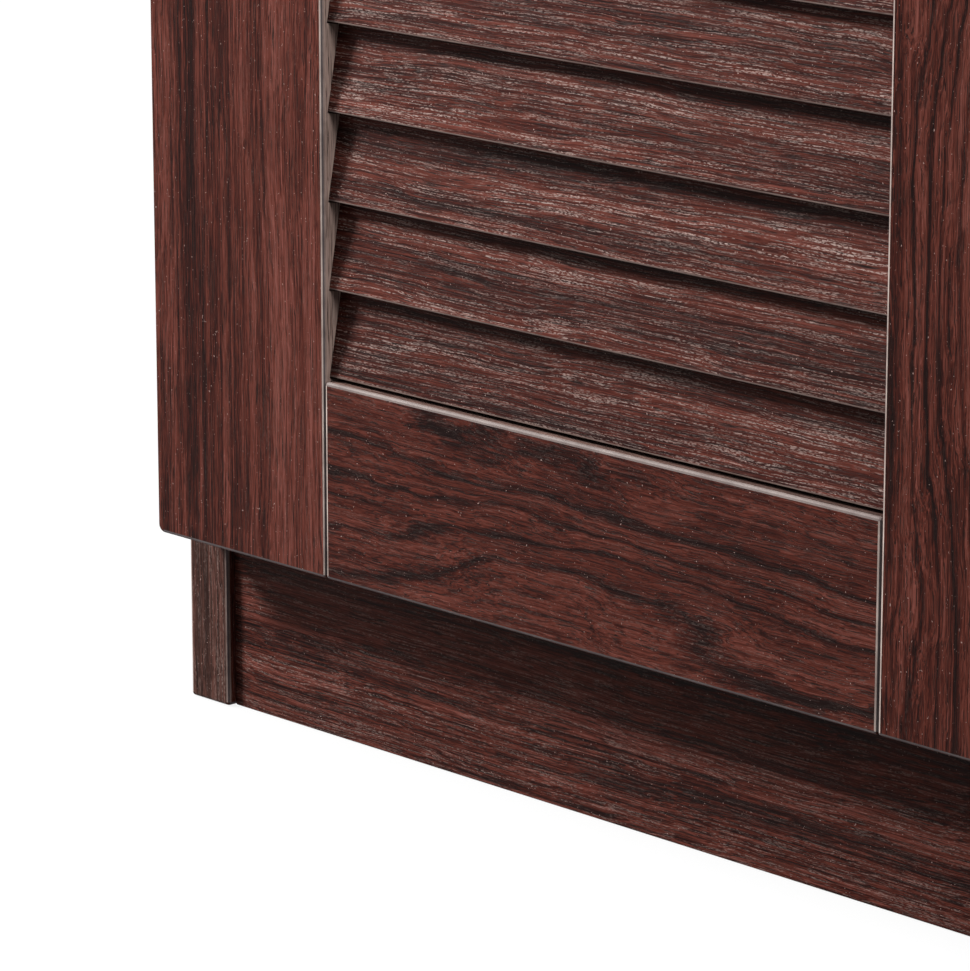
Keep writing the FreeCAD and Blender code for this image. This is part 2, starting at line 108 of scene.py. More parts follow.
# How the grain is turned to run across the cabinet, up it, or from front to back.
grain_turns = {"across": (0, 0, 0), "up": (0, math.radians(90), 0),
               "deep": (0, 0, math.radians(90))}


def rosewood_melamine(name, run, seed, tone, contrast, figure, rings, painted_glint,
                      inks=rosewood_inks):
    """Printed melamine: a rosewood print under a pressed, pored wear layer.

    The print reads as red-brown and near-black streaks along the grain, with darker
    growth-ring lines that run straight or close into flames and eyes. The pressed
    pores are really 0.1 to 0.2 mm wide; they are drawn twice as wide, so that they show.
    """
    material, tree, output = new_material(name)
    place = add_node(tree, "ShaderNodeTexCoord").outputs["Object"]

    # From here on lengths are in mm. The seed takes each print from its own stretch.
    own_stretch = (seed * 977.0, seed * 41.0, seed * 137.0)
    grain = add_node(tree, "ShaderNodeMapping", {
        "Vector": place, "Scale": (1 / MM, 1 / MM, 1 / MM), "Rotation": grain_turns[run],
        "Location": own_stretch}).outputs["Vector"]

    # The grain wanders sideways by a few millimetres as it runs.
    wander_length = 240
    wander_width = 60
    wander_reach = 8.0 + 16.0 * figure
    wander = add_node(tree, "ShaderNodeMapping", {
        "Vector": grain,
        "Scale": (1 / wander_length, 1 / wander_width, 1 / wander_width)}).outputs["Vector"]
    wander = add_node(tree, "ShaderNodeTexNoise", {
        "Vector": wander, "Scale": 1.0, "Detail": 6.0, "Roughness": 0.55}).outputs["Fac"]
    wander = add_node(tree, "ShaderNodeMath", {0: wander, 1: 0.5}, operation="SUBTRACT").outputs[0]
    wander = add_node(tree, "ShaderNodeMath", {0: wander, 1: wander_reach},
                      operation="MULTIPLY").outputs[0]
    wander = add_node(tree, "ShaderNodeCombineXYZ", {"Y": wander, "Z": wander}).outputs[0]
    bent = add_node(tree, "ShaderNodeVectorMath", {0: grain, 1: wander}, operation="ADD").outputs[0]

    # Each layer of the print: length and width of its marks in mm, noise detail.
    marks = {
        "bands": (420.0, 9.0, 3.0),
        "flame": (260.0, 42.0, 0.5),
        "streaks": (150.0, 1.1, 4.0),
        "fibres": (38.0, 0.42, 3.0),
        "flecks": (6.0, 0.26, 2.0),
        "pores": (16.0, 0.34, 2.0),
        "glints": (1.2, 0.26, 1.0),
        "clusters": (38.0, 0.48, 3.0),
        "specks": (0.6, 0.42, 0.0),
    }
    # Each layer is moved on by one step more, so that no two marks line up.
    layer_step = (7.3, 3.1, 5.7)
    layer = {}
    for steps, (mark, (length, width, detail)) in enumerate(marks.items()):
        spot = add_node(tree, "ShaderNodeMapping", {
            "Vector": bent, "Scale": (1 / length, 1 / width, 1 / width),
            "Location": [steps * way for way in layer_step]}).outputs["Vector"]
        layer[mark] = add_node(tree, "ShaderNodeTexNoise", {
            "Vector": spot, "Scale": 1.0, "Detail": detail, "Roughness": 0.6}).outputs["Fac"]

    # Growth rings: a dark line every 15 mm across the grain, bent by the flame layer and
    # frayed by the streaks, with four fine ones nested between each two.
    ring_turn = 0.42
    flame_bend = 30.0 * figure
    streak_fray = 0.45
    nested_rings = 5.0
    nested_strength = 0.4
    axes = add_node(tree, "ShaderNodeSeparateXYZ", {0: bent})
    across = add_node(tree, "ShaderNodeMath", {0: axes.outputs["Y"], 1: axes.outputs["Z"]},
                      operation="ADD").outputs[0]
    ring = add_node(tree, "ShaderNodeMath", {0: layer["streaks"], 1: streak_fray},
                    operation="MULTIPLY").outputs[0]
    ring = add_node(tree, "ShaderNodeMath", {0: layer["flame"], 1: flame_bend, 2: ring},
                    operation="MULTIPLY_ADD").outputs[0]
    ring = add_node(tree, "ShaderNodeMath", {0: across, 1: ring_turn, 2: ring},
                    operation="MULTIPLY_ADD").outputs[0]
    nested = add_node(tree, "ShaderNodeMath", {0: ring, 1: nested_rings},
                      operation="MULTIPLY").outputs[0]
    depth = tone
    for phase, share in ((ring, 1.0), (nested, nested_strength)):
        wave = add_node(tree, "ShaderNodeMath", {0: phase}, operation="SINE").outputs[0]
        line = add_node(tree, "ShaderNodeMapRange", {
            "Value": wave, "From Min": -1.0, "From Max": -0.4, "To Min": -rings * share,
            "To Max": 0.0}, interpolation_type="SMOOTHSTEP").outputs[0]
        depth = add_node(tree, "ShaderNodeMath", {0: line, 1: depth}, operation="ADD").outputs[0]

    # How strongly each layer darkens or lightens the print.
    weights = {"bands": 1.1, "streaks": 1.1, "fibres": 0.95, "flecks": 0.7}
    for mark, weight in weights.items():
        centred = add_node(tree, "ShaderNodeMath", {0: layer[mark], 1: 0.5},
                           operation="SUBTRACT").outputs[0]
        depth = add_node(tree, "ShaderNodeMath", {0: centred, 1: weight * contrast, 2: depth},
                         operation="MULTIPLY_ADD").outputs[0]
    ramp = add_node(tree, "ShaderNodeValToRGB", {"Fac": depth})
    fill_ramp(ramp, inks)

    # Pores: short dark dashes. Glints: painted highlights, pale dashes in clusters, stronger
    # in the paler bands. Specks: single pale dots, painted as tiny highlights.
    pore_ink = linear("#1d100d")
    painted_glint_grey = linear("#a8928a")
    painted_speck_grey = linear("#9b827b")
    pore = add_node(tree, "ShaderNodeMapRange", {
        "Value": layer["pores"], "From Min": 0.55, "From Max": 0.66}).outputs[0]
    pored = add_node(tree, "ShaderNodeMixRGB", {
        "Fac": pore, "Color1": ramp.outputs["Color"], "Color2": pore_ink}).outputs[0]
    cluster = add_node(tree, "ShaderNodeMapRange", {
        "Value": layer["clusters"], "From Min": 0.50, "From Max": 0.62,
        "To Max": painted_glint}).outputs[0]
    dash = add_node(tree, "ShaderNodeMapRange", {
        "Value": layer["glints"], "From Min": 0.42, "From Max": 0.60}).outputs[0]
    dash = add_node(tree, "ShaderNodeMath", {0: dash, 1: cluster}, operation="MULTIPLY").outputs[0]
    patch = add_node(tree, "ShaderNodeMapRange", {
        "Value": layer["bands"], "From Min": 0.36, "From Max": 0.64, "To Min": 0.3,
        "To Max": 1.45}).outputs[0]
    dash = add_node(tree, "ShaderNodeMath", {0: dash, 1: patch}, operation="MULTIPLY").outputs[0]
    with_painted_glints = add_node(tree, "ShaderNodeMixRGB", {
        "Fac": dash, "Color1": pored, "Color2": painted_glint_grey}).outputs[0]
    painted_speck = add_node(tree, "ShaderNodeMapRange", {
        "Value": layer["specks"], "From Min": 0.81, "From Max": 0.86}).outputs[0]
    face_colour = add_node(tree, "ShaderNodeMixRGB", {
        "Fac": painted_speck, "Color1": with_painted_glints, "Color2": painted_speck_grey}).outputs[0]

    # The pores are pressed in, and the face is a little glossier where the painted glints cluster.
    relief = add_node(tree, "ShaderNodeMath", {0: pore, 1: -1.0, 2: layer["fibres"]},
                      operation="MULTIPLY_ADD").outputs[0]
    pressed = add_node(tree, "ShaderNodeBump", {
        "Height": relief, "Distance": 0.08 * MM, "Strength": 0.6}).outputs["Normal"]
    satin = add_node(tree, "ShaderNodeMapRange", {
        "Value": layer["clusters"], "To Min": 0.55, "To Max": 0.36}).outputs[0]
    shader = add_node(tree, "ShaderNodeBsdfPrincipled", {
        "Base Color": face_colour, "Roughness": satin, "IOR": 1.5, "Normal": pressed,
        "Specular IOR Level": 0.04})
    tree.links.new(shader.outputs[0], output.inputs["Surface"])
    return material


def eased_arris(name, dull, bright):
    """An eased edge, the print cut through and buffed and paler than the face, partly a
    painted highlight; given darker colours, the painted shade in the hollow of the easing.
    """
    material, tree, output = new_material(name)
    place = add_node(tree, "ShaderNodeTexCoord").outputs["Object"]
    wear_and_highlight_length = 14 * MM
    wear_and_highlight = add_node(tree, "ShaderNodeTexNoise", {
        "Vector": place, "Scale": 1 / wear_and_highlight_length, "Detail": 6.0,
        "Roughness": 0.7}).outputs["Fac"]
    ramp = add_node(tree, "ShaderNodeValToRGB", {"Fac": wear_and_highlight})
    fill_ramp(ramp, [(0.30, dull), (0.70, bright)])
    shader = add_node(tree, "ShaderNodeBsdfPrincipled", {
        "Base Color": ramp.outputs["Color"], "Roughness": 0.5, "IOR": 1.5,
        "Specular IOR Level": 0.1})
    tree.links.new(shader.outputs[0], output.inputs["Surface"])
    return material


def select_only(pieces):
    """Selects these objects and nothing else, the first one active."""
    bpy.ops.object.select_all(action="DESELECT")
    for piece in pieces:
        piece.select_set(True)
    bpy.context.view_layer.objects.active = pieces[0]


def apply_modifiers(piece):
    """Applies all of a piece's modifiers, in their order."""
    bpy.context.view_layer.objects.active = piece
    for modifier in list(piece.modifiers):
        bpy.ops.object.modifier_apply(modifier=modifier.name)


def round_edges(piece, width, segments, sharper_than=None, slot=-1):
    """Rounds a piece's edges: all of them, or those that turn by more than an angle."""
    bevel = piece.modifiers.new("rounded edges", "BEVEL")
    bevel.width = width
    bevel.segments = segments
    bevel.material = slot
    bevel.limit_method = "NONE"
    if sharper_than is not None:
        bevel.limit_method = "ANGLE"
        bevel.angle_limit = math.radians(sharper_than)
    apply_modifiers(piece)


# A board's material slots, in the order that new_board takes its materials. Only two
# stiles have the last one, which is added to them afterwards.
face_print, on_arris, on_banding, in_groove, on_joint_line, on_open_edge = range(6)
corner_round = 2.6 * MM


def new_board(name, low, high, ease, materials, rounded_x=None):
    """A board between two corners with eased edges.

    Its materials are the face print, the arris, the edge banding, the middle of an
    upright arris, and the fine line where an upright arris meets the face. The two
    corners at rounded_x are rounded as seen from the front, and the print wraps them.
    """
    bpy.ops.object.select_all(action="DESELECT")
    bpy.ops.mesh.primitive_cube_add(size=1, location=(low + high) / 2)
    board = bpy.context.object
    board.name = name
    board.scale = high - low
    bpy.ops.object.transform_apply(location=True, rotation=True, scale=True)
    for material in materials:
        board.data.materials.append(material)
    if rounded_x is not None:
        bpy.ops.object.mode_set(mode="EDIT")
        bpy.ops.mesh.select_mode(type="EDGE")
        bpy.ops.mesh.select_all(action="DESELECT")
        bpy.ops.object.mode_set(mode="OBJECT")
        for edge in board.data.edges:
            ends = [board.data.vertices[v].co for v in edge.vertices]
            edge.select = (abs(ends[0].y - ends[1].y) > ease
                           and max(abs(end.x - rounded_x) for end in ends) < ease)
        bpy.ops.object.mode_set(mode="EDIT")
        bpy.ops.mesh.bevel(offset=corner_round, segments=5, affect="EDGES")
        bpy.ops.mesh.select_mode(type="VERT")
        bpy.ops.object.mode_set(mode="OBJECT")
    round_edges(board, ease, 3, 40, slot=min(on_arris, len(materials) - 1))

    # How far a face's normal points along an axis tells a flat side from an eased one.
    flat = 0.99
    nearly_flat = 0.9
    edge_on = 0.1
    thin = min(range(3), key=lambda axis: (high - low)[axis])
    for face in board.data.polygons:
        along = max(range(3), key=lambda axis: abs(face.normal[axis]))
        through = abs(face.normal[thin])
        if len(materials) > on_banding and abs(face.normal[along]) > flat and along != thin:
            face.material_index = on_banding
        # Arris middles that do not face up, and faces turned down, get the painted-shade grey.
        if len(materials) > in_groove:
            middle_of_arris = abs(face.normal[along]) < nearly_flat and face.normal.z < 0.3
            under = -flat < face.normal.z < -0.2
            if middle_of_arris or under:
                face.material_index = in_groove
            if under and through < nearly_flat:
                face.material_index = face_print
        if len(materials) > on_banding and through < edge_on:
            face.material_index = on_banding
        # The fine lines beside upright arrises get the joint's painted highlight.
        if len(materials) > on_joint_line:
            if nearly_flat < through < flat and abs(face.normal.z) < edge_on:
                face.material_index = on_joint_line
        if rounded_x is not None and abs(face.center.x - rounded_x) < corner_round:
            if abs(face.normal.x) < flat:
                face.material_index = face_print
    return board


def cut_with(piece, cutter):
    """Cuts the cutter's shape out of a piece and removes the cutter."""
    cut = piece.modifiers.new("cut", "BOOLEAN")
    cut.operation = "DIFFERENCE"
    cut.solver = "EXACT"
    cut.object = cutter
    apply_modifiers(piece)
    bpy.data.objects.remove(cutter)


def join_all(pieces):
    """Joins objects into the first one."""
    select_only(pieces)
    bpy.ops.object.join()
    return pieces[0]


def finish_piece(piece, node, body, degrees=12):
    """Shades a finished piece and hands it to the frame in place of its CAD node."""
    select_only([piece])
    bpy.ops.object.shade_smooth_by_angle(angle=math.radians(degrees))
    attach(piece, body)
    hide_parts(node)


# The eased edges read as fine pale lines, buffed and with a painted highlight, and
# with painted grey shade in the hollow where they turn away.
board_ease = 1.1 * MM
arris = eased_arris("buffed_arris_painted_highlight", "#6a5751", "#97857e")
groove = eased_arris("painted_shade_in_the_easing", "#453b3d", "#5d5152")

# PVC edge banding is duller and browner than the faces, with a fainter print. The pale
# copy at tone 0.95 is painted light, for the stile edges that face the fill lamp.
banding_inks = [(0.15, "#2c1f1c"), (0.38, "#40302b"), (0.52, "#543f39"), (0.70, "#715a52"),
                (0.95, "#a08a80")]
painted_lit_banding = rosewood_melamine("rosewood_pvc_edge_banding", "up", 21, tone=0.95, contrast=0.6,
                            figure=0.1, rings=0.05, painted_glint=0.2, inks=banding_inks)
cross_banding = rosewood_melamine("rosewood_pvc_edge_banding_across", "across", 22, tone=0.4,
                                  contrast=0.8, figure=0.1, rings=0.05, painted_glint=0.2,
                                  inks=banding_inks)
deep_banding = rosewood_melamine("rosewood_pvc_edge_banding_at_the_ends", "deep", 24, tone=0.4,
                                 contrast=0.8, figure=0.1, rings=0.05, painted_glint=0.2,
                                 inks=banding_inks)
panel_inks = [(0.15, "#291814"), (0.38, "#3f2822"), (0.52, "#53352e"), (0.70, "#66453e"),
              (0.95, "#7f5c55")]
panel_banding = rosewood_melamine("rosewood_pvc_panel_banding", "up", 23, tone=0.38, contrast=1.0,
                                  figure=0.1, rings=0.05, painted_glint=0.3, inks=panel_inks)

# The side panels' print: straight red-brown and near-black streaks, little figure.
panel_melamine = rosewood_melamine("rosewood_melamine_side_panel", "up", 2,
                                   tone=0.5, contrast=0.8, figure=0.4, rings=0.08, painted_glint=0.15)

shelf_nodes = ["shelf_1", "shelf_2", "shelf_3", "shelf_4"]
pin_radius = 2.5 * MM
pin_row_inset = 55 * MM
pin_hole_radius = 2.55 * MM
pin_hole_depth = 8 * MM
pin_hole_step = 32 * MM


def pin_hole_cutter(inner_x):
    """All the support holes of one side panel as one cutter: three high, for each pin."""
    drills = []
    for node in shelf_nodes:
        low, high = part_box(node)
        for y in (low.y + pin_row_inset, high.y - pin_row_inset):
            for step in (-1, 0, 1):
                z = low.z - pin_radius + step * pin_hole_step
                bpy.ops.mesh.primitive_cylinder_add(
                    vertices=20, radius=pin_hole_radius, depth=2 * pin_hole_depth,
                    location=(inner_x, y, z), rotation=(0, math.radians(90), 0))
                drills.append(bpy.context.object)
    return join_all(drills)


for side in ("left", "right"):
    low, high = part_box("side_panel_" + side)
    panel = new_board("side_panel_" + side + "_board", low, high, board_ease,
                      [panel_melamine, arris, panel_banding, groove])
    inner_x = high.x if side == "left" else low.x
    cut_with(panel, pin_hole_cutter(inner_x))
    finish_piece(panel, "side_panel_" + side, "carcass")

# ---- Toe-kick and rear plinth rail ----------------------------------------------
# Two 18 mm boards that stand on the floor between the side panels, dowelled at
# their ends. The front one sits a few millimetres back from the panel edges. The
# print runs across, with more pale dashes painted in as glints than on the door frames.

# The boards without edge banding only have the sharpness taken off their edges.
sanded_ease = 0.4 * MM

# It reads as long level streaks, salted with grey dashes painted in as glints.
plinth_melamine = rosewood_melamine("rosewood_melamine_plinth", "across", 5,
                                    tone=0.575, contrast=1.35, figure=0.5, rings=0.08, painted_glint=0.36)
for node in ("toe_kick_board", "plinth_rail_rear"):
    low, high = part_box(node)
    board = new_board(node + "_panel", low, high, sanded_ease, [plinth_melamine])
    finish_piece(board, node, "carcass")

# ---- Bottom panel, shelves and top --------------------------------------------
# Melamine boards like the sides, with the print running across the cabinet. The
# top is the broad flat surface that things are set down on.

shelf_ease = 0.6 * MM
top_ease = 1.5 * MM

# The shelves' print is plain; the top's has a few more flames and closed rings.
shelf_melamine = rosewood_melamine("rosewood_melamine_shelf", "across", 9,
                                   tone=0.5, contrast=0.9, figure=0.6, rings=0.12, painted_glint=0.25)
low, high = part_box("bottom_panel")
board = new_board("bottom_board", low, high, sanded_ease, [shelf_melamine])
finish_piece(board, "bottom_panel", "carcass")
for node in shelf_nodes:
    low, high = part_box(node)
    board = new_board(node + "_board", low, high, shelf_ease,
                      [shelf_melamine, arris, cross_banding])
    finish_piece(board, node, "carcass")
top_melamine = rosewood_melamine("rosewood_melamine_top", "across", 13,
                                 tone=0.52, contrast=0.95, figure=0.9, rings=0.18, painted_glint=0.25)
low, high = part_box("top_panel")
board = new_board("top_board", low, high, top_ease, [top_melamine, arris, cross_banding])

# At the two ends of the top the banding runs from front to back.
board.data.materials.append(deep_banding)
end_banding = len(board.data.materials) - 1
for face in board.data.polygons:
    if abs(face.normal.x) > 0.99:
        face.material_index = end_banding
finish_piece(board, "top_panel", "carcass")

# ---- Doors: stiles and rails ------------------------------------------------------
# Each door is a frame of four 15 mm boards, butt-jointed on dowels. Every board
# has eased edges, so a fine V-groove shows where a rail meets a stile. The stiles
# carry a slanting mortise for each louvre slat and a 35 mm bore for each hinge.

slat_count = 26
slat_height = 30.3 * MM
slat_thickness = 4.2 * MM
slat_tilt = math.radians(10.5)
slat_setback = 2.4 * MM
slat_reach = slat_height * math.cos(slat_tilt) + slat_thickness * math.sin(slat_tilt)


def slat_blank(name, low_x, high_x, front_y, bottom_z, grow=0, foot=0):
    """One slat-shaped block, leaning back from its bottom front edge.

    It is larger than a slat by grow at the front, back and top, and by foot below.
    """
    bpy.ops.object.select_all(action="DESELECT")
    bpy.ops.mesh.primitive_cube_add(size=1)
    blank = bpy.context.object
    blank.name = name
    size = Vector((high_x - low_x, slat_thickness + 2 * grow, slat_height + grow + foot))
    blank.scale = size
    blank.location = (0, slat_thickness / 2, (slat_height + grow - foot) / 2)
    bpy.ops.object.transform_apply(location=True, rotation=True, scale=True)
    bpy.ops.object.mode_set(mode="EDIT")
    bpy.ops.mesh.select_all(action="SELECT")
    bpy.ops.transform.rotate(value=slat_tilt, orient_axis="X", center_override=(0, 0, 0))
    bpy.ops.transform.translate(value=((low_x + high_x) / 2, front_y, bottom_z))
    bpy.ops.object.mode_set(mode="OBJECT")
    return blank


def repeat_up(piece, step):
    """Stacks copies of a slat or a mortise up the door."""
    stack = piece.modifiers.new("stack", "ARRAY")
    stack.count = slat_count
    stack.use_relative_offset = False
    stack.use_constant_offset = True
    stack.constant_offset_displace = (0, 0, step)
    apply_modifiers(piece)


def louvre_places(side):
    """Ends, front, lowest bottom edge and spacing of a door's slats."""
    low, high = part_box("door_" + side + "_louvre_slats")
    front_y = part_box("door_" + side + "_rail_bottom")[0].y + slat_setback
    bottom_z = low.z + slat_thickness * math.sin(slat_tilt)
    pitch = (high.z - low.z - slat_reach) / (slat_count - 1)
    return low.x, high.x, front_y, bottom_z, pitch


# Outer stiles show straight streaks, inner stiles and rails dark flames and eyes.
stile_melamine = rosewood_melamine("rosewood_melamine_stile", "up", 1,
                                   tone=0.565, contrast=1.15, figure=0.3, rings=0.12, painted_glint=0.05)
flame_melamine = rosewood_melamine("rosewood_melamine_flame_stile", "up", 4,
                                   tone=0.67, contrast=1.0, figure=1.6, rings=0.3, painted_glint=0.05)
rail_melamine = rosewood_melamine("rosewood_melamine_rail", "across", 3,
                                  tone=0.58, contrast=0.8, figure=1.5, rings=0.3, painted_glint=0.1)
# A joint reads as two pale lines, scraped and with a painted highlight, with painted grey shade
# between them.
rail_arris = eased_arris("eased_rail_arris", "#574b48", "#776c68")
joint_line = eased_arris("scraped_joint_painted_highlight", "#7f706a", "#bdaca3")
joint_groove = eased_arris("painted_shade_in_the_joint", "#4b4344", "#69605f")

mortise_clearance = 0.15 * MM
mortise_foot = 0.5 * MM
mortise_extra_length = 0.2 * MM
cup_radius = 17.45 * MM
cup_bore_radius = 17.5 * MM
cup_bore_depth = 12.5 * MM
cup_flange_half_height = 27 * MM

for side in ("left", "right"):
    body = "door_" + side
    low_x, high_x, front_y, bottom_z, pitch = louvre_places(side)
    for part, melamine in (("stile_outer", stile_melamine), ("stile_inner", flame_melamine)):
        node = body + "_" + part
        low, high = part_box(node)
        outer_x = None
        if part == "stile_outer":
            outer_x = low.x if side == "left" else high.x
        stile = new_board(node + "_board", low, high, board_ease,
                          [melamine, arris, panel_banding, joint_groove, joint_line], outer_x)

        # On two stiles the edge beside the slats faces right, towards the fill lamp. It has the
        # paler banding, painted light.
        if (part == "stile_outer") == (side == "left"):
            stile.data.materials.append(painted_lit_banding)
            for face in stile.data.polygons:
                if face.normal.x > 0.99:
                    face.material_index = on_open_edge
        mortises = slat_blank("mortises", low_x - mortise_extra_length,
                              high_x + mortise_extra_length, front_y, bottom_z,
                              mortise_clearance, mortise_foot)
        repeat_up(mortises, pitch)
        cut_with(stile, mortises)
        if part == "stile_outer":
            cups_low, cups_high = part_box(body + "_hinge_cups")
            bore_x = cups_low.x + cup_radius if side == "left" else cups_high.x - cup_radius
            for z in (cups_low.z + cup_flange_half_height, cups_high.z - cup_flange_half_height):
                bpy.ops.mesh.primitive_cylinder_add(
                    vertices=64, radius=cup_bore_radius, depth=2 * cup_bore_depth,
                    location=(bore_x, high.y, z), rotation=(math.radians(90), 0, 0))
                cut_with(stile, bpy.context.object)
        finish_piece(stile, node, body)
    for part in ("rail_bottom", "rail_top"):
        node = body + "_" + part
        low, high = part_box(node)
        rail = new_board(node + "_board", low, high, board_ease,
                         [rail_melamine, rail_arris, cross_banding, joint_groove, joint_line])
        finish_piece(rail, node, body)

# ---- Louvre slats ------------------------------------------------------------------
# Thin foil-wrapped slats, leaning back ten degrees, their ends let into the
# stiles. The foil is the same print run lengthwise, with pale dashes painted in as
# glints; along each lower edge the wrap shows as a fine lighter line, partly a painted highlight.

# Darker and greyer than the frame: broken silvery dashes, painted glints, over red and black
# streaks.
slat_foil = rosewood_melamine("rosewood_foil_slat", "across", 7,
                              tone=0.475, contrast=0.9, figure=0.3, rings=0.06, painted_glint=0.55)
# The paler colour of the slats' rounded lower edges is partly a painted highlight.
slat_edge = eased_arris("foil_edge_painted_highlight", "#5b4843", "#8b7871")
slat_edge_round = 0.5 * MM
for side in ("left", "right"):
    body = "door_" + side
    low_x, high_x, front_y, bottom_z, pitch = louvre_places(side)
    slats = slat_blank(body + "_slats", low_x, high_x, front_y, bottom_z)
    slats.data.materials.append(slat_foil)
    slats.data.materials.append(slat_edge)
    round_edges(slats, slat_edge_round, 2, slot=on_arris)
    repeat_up(slats, pitch)
    finish_piece(slats, body + "_louvre_slats", body)

# ---- Back panel ---------------------------------------------------------------------
# One sheet of bare 3 mm hardboard, brown on both sides, nailed to the rear edges of
# the carcass with small round-head nails.


def pressed_hardboard():
    """Hardboard: steam-pressed wood fibre, mottled brown, with a faint screen weave."""
    material, tree, output = new_material("pressed_hardboard")
    place = add_node(tree, "ShaderNodeTexCoord").outputs["Object"]
    fibre_length = 1.6 * MM
    wad_width = 16 * MM
    threads_in_a_metre = 900
    fibre = add_node(tree, "ShaderNodeTexNoise", {
        "Vector": place, "Scale": 1 / fibre_length, "Detail": 6.0,
        "Roughness": 0.7}).outputs["Fac"]
    wad = add_node(tree, "ShaderNodeTexNoise", {
        "Vector": place, "Scale": 1 / wad_width, "Detail": 5.0,
        "Roughness": 0.65}).outputs["Fac"]
    mottle = add_node(tree, "ShaderNodeMath", {0: fibre, 1: 1.4, 2: wad},
                      operation="MULTIPLY_ADD").outputs[0]
    mottle = add_node(tree, "ShaderNodeMapRange", {
        "Value": mottle, "From Min": 0.75, "From Max": 1.65}).outputs[0]
    ramp = add_node(tree, "ShaderNodeValToRGB", {"Fac": mottle})
    fill_ramp(ramp, [(0.1, "#5c3e2d"), (0.5, "#6f4c37"), (0.9, "#84604a")])
    weave = add_node(tree, "ShaderNodeVectorMath", {0: place, 1: (threads_in_a_metre,) * 3},
                     operation="MULTIPLY").outputs[0]
    weave = add_node(tree, "ShaderNodeTexVoronoi", {"Vector": weave, "Scale": 1.0}).outputs[0]
    relief = add_node(tree, "ShaderNodeMath", {0: weave, 1: fibre}, operation="ADD").outputs[0]
    relief = add_node(tree, "ShaderNodeBump", {
        "Height": relief, "Distance": 0.15 * MM, "Strength": 0.6}).outputs["Normal"]
    shader = add_node(tree, "ShaderNodeBsdfPrincipled", {
        "Base Color": ramp.outputs["Color"], "Roughness": 0.72, "Normal": relief,
        "Specular IOR Level": 0.3})
    tree.links.new(shader.outputs[0], output.inputs["Surface"])
    return material


def plated_metal(name, dark, light, roughness, grain_mm, depth_mm):
    """A plated or cast metal surface: fine grain, slight tarnish clouds."""
    material, tree, output = new_material(name)
    place = add_node(tree, "ShaderNodeTexCoord").outputs["Object"]
    cloud_width = 9 * MM
    grain = add_node(tree, "ShaderNodeTexNoise", {
        "Vector": place, "Scale": 1 / (grain_mm * MM), "Detail": 4.0}).outputs["Fac"]
    cloud = add_node(tree, "ShaderNodeTexNoise", {
        "Vector": place, "Scale": 1 / cloud_width, "Detail": 2.0}).outputs["Fac"]
    ramp = add_node(tree, "ShaderNodeValToRGB", {"Fac": cloud})
    fill_ramp(ramp, [(0.35, dark), (0.65, light)])
    wear = add_node(tree, "ShaderNodeMapRange", {
        "Value": grain, "To Min": roughness - 0.08, "To Max": roughness + 0.1}).outputs[0]
    relief = add_node(tree, "ShaderNodeBump", {
        "Height": grain, "Distance": depth_mm * MM, "Strength": 0.4}).outputs["Normal"]
    shader = add_node(tree, "ShaderNodeBsdfPrincipled", {
        "Base Color": ramp.outputs["Color"], "Roughness": wear, "Metallic": 1.0,
        "Normal": relief})
    tree.links.new(shader.outputs[0], output.inputs["Surface"])
    return material


def merged_copy(node):
    """A copy of a CAD node's own mesh, its loose triangles merged into solids."""
    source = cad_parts[node]
    mesh = source.data.copy()
    mesh.transform(source.matrix_world)
    mesh.materials.clear()
    shape = bpy.data.objects.new(node + "_shape", mesh)
    bpy.context.collection.objects.link(shape)
    select_only([shape])
    bpy.ops.mesh.customdata_custom_splitnormals_clear()
    bpy.ops.object.mode_set(mode="EDIT")
    bpy.ops.mesh.select_all(action="SELECT")
    bpy.ops.mesh.remove_doubles(threshold=0.002 * MM)
    bpy.ops.mesh.dissolve_limited(angle_limit=math.radians(1))
    bpy.ops.object.mode_set(mode="OBJECT")
    return shape


def softened(node, body, material, round_off):
    """The CAD solid's own shape with its sharp edges rounded off, in its place."""
    shape = merged_copy(node)
    shape.data.materials.append(material)
    round_edges(shape, round_off, 2, 50)
    finish_piece(shape, node, body, 40)


# Zinc plating gives the small parts a cool, slightly cloudy grey.
zinc_steel = plated_metal("zinc_plated_steel", "#9ea3a6", "#c3c7c9", roughness=0.34,
                          grain_mm=0.8, depth_mm=0.02)
fine_round = 0.3 * MM
low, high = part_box("back_panel")
back = new_board("back_panel_sheet", low, high, sanded_ease, [pressed_hardboard()])
finish_piece(back, "back_panel", "carcass")
softened("back_panel_nails", "carcass", zinc_steel, fine_round)

# ---- Dowels and cam fittings ------------------------------------------------------------
# Beech dowels line the boards up; cast zinc cams turned by a screwdriver pull
# on steel bolts and hold the carcass together.


def turned_beech():
    """Beech dowel: pale pinkish wood with short dark ray flecks."""
    material, tree, output = new_material("turned_beech")
    place = add_node(tree, "ShaderNodeTexCoord").outputs["Object"]
    fleck_length = 0.9 * MM
    fleck = add_node(tree, "ShaderNodeTexNoise", {
        "Vector": place, "Scale": 1 / fleck_length, "Detail": 3.0}).outputs["Fac"]
    ramp = add_node(tree, "ShaderNodeValToRGB", {"Fac": fleck})
    fill_ramp(ramp, [(0.35, "#b08a62"), (0.55, "#cfae84"), (0.75, "#dcc09a")])
    relief = add_node(tree, "ShaderNodeBump", {
        "Height": fleck, "Distance": 0.05 * MM, "Strength": 0.5}).outputs["Normal"]
    shader = add_node(tree, "ShaderNodeBsdfPrincipled", {
        "Base Color": ramp.outputs["Color"], "Roughness": 0.6, "Normal": relief})
    tree.links.new(shader.outputs[0], output.inputs["Surface"])
    return material


def finish_cad(nodes, material):
    """Gives CAD nodes that keep their own mesh their material."""
    for node in nodes:
        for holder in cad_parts[node].material_slots:
            holder.material = material


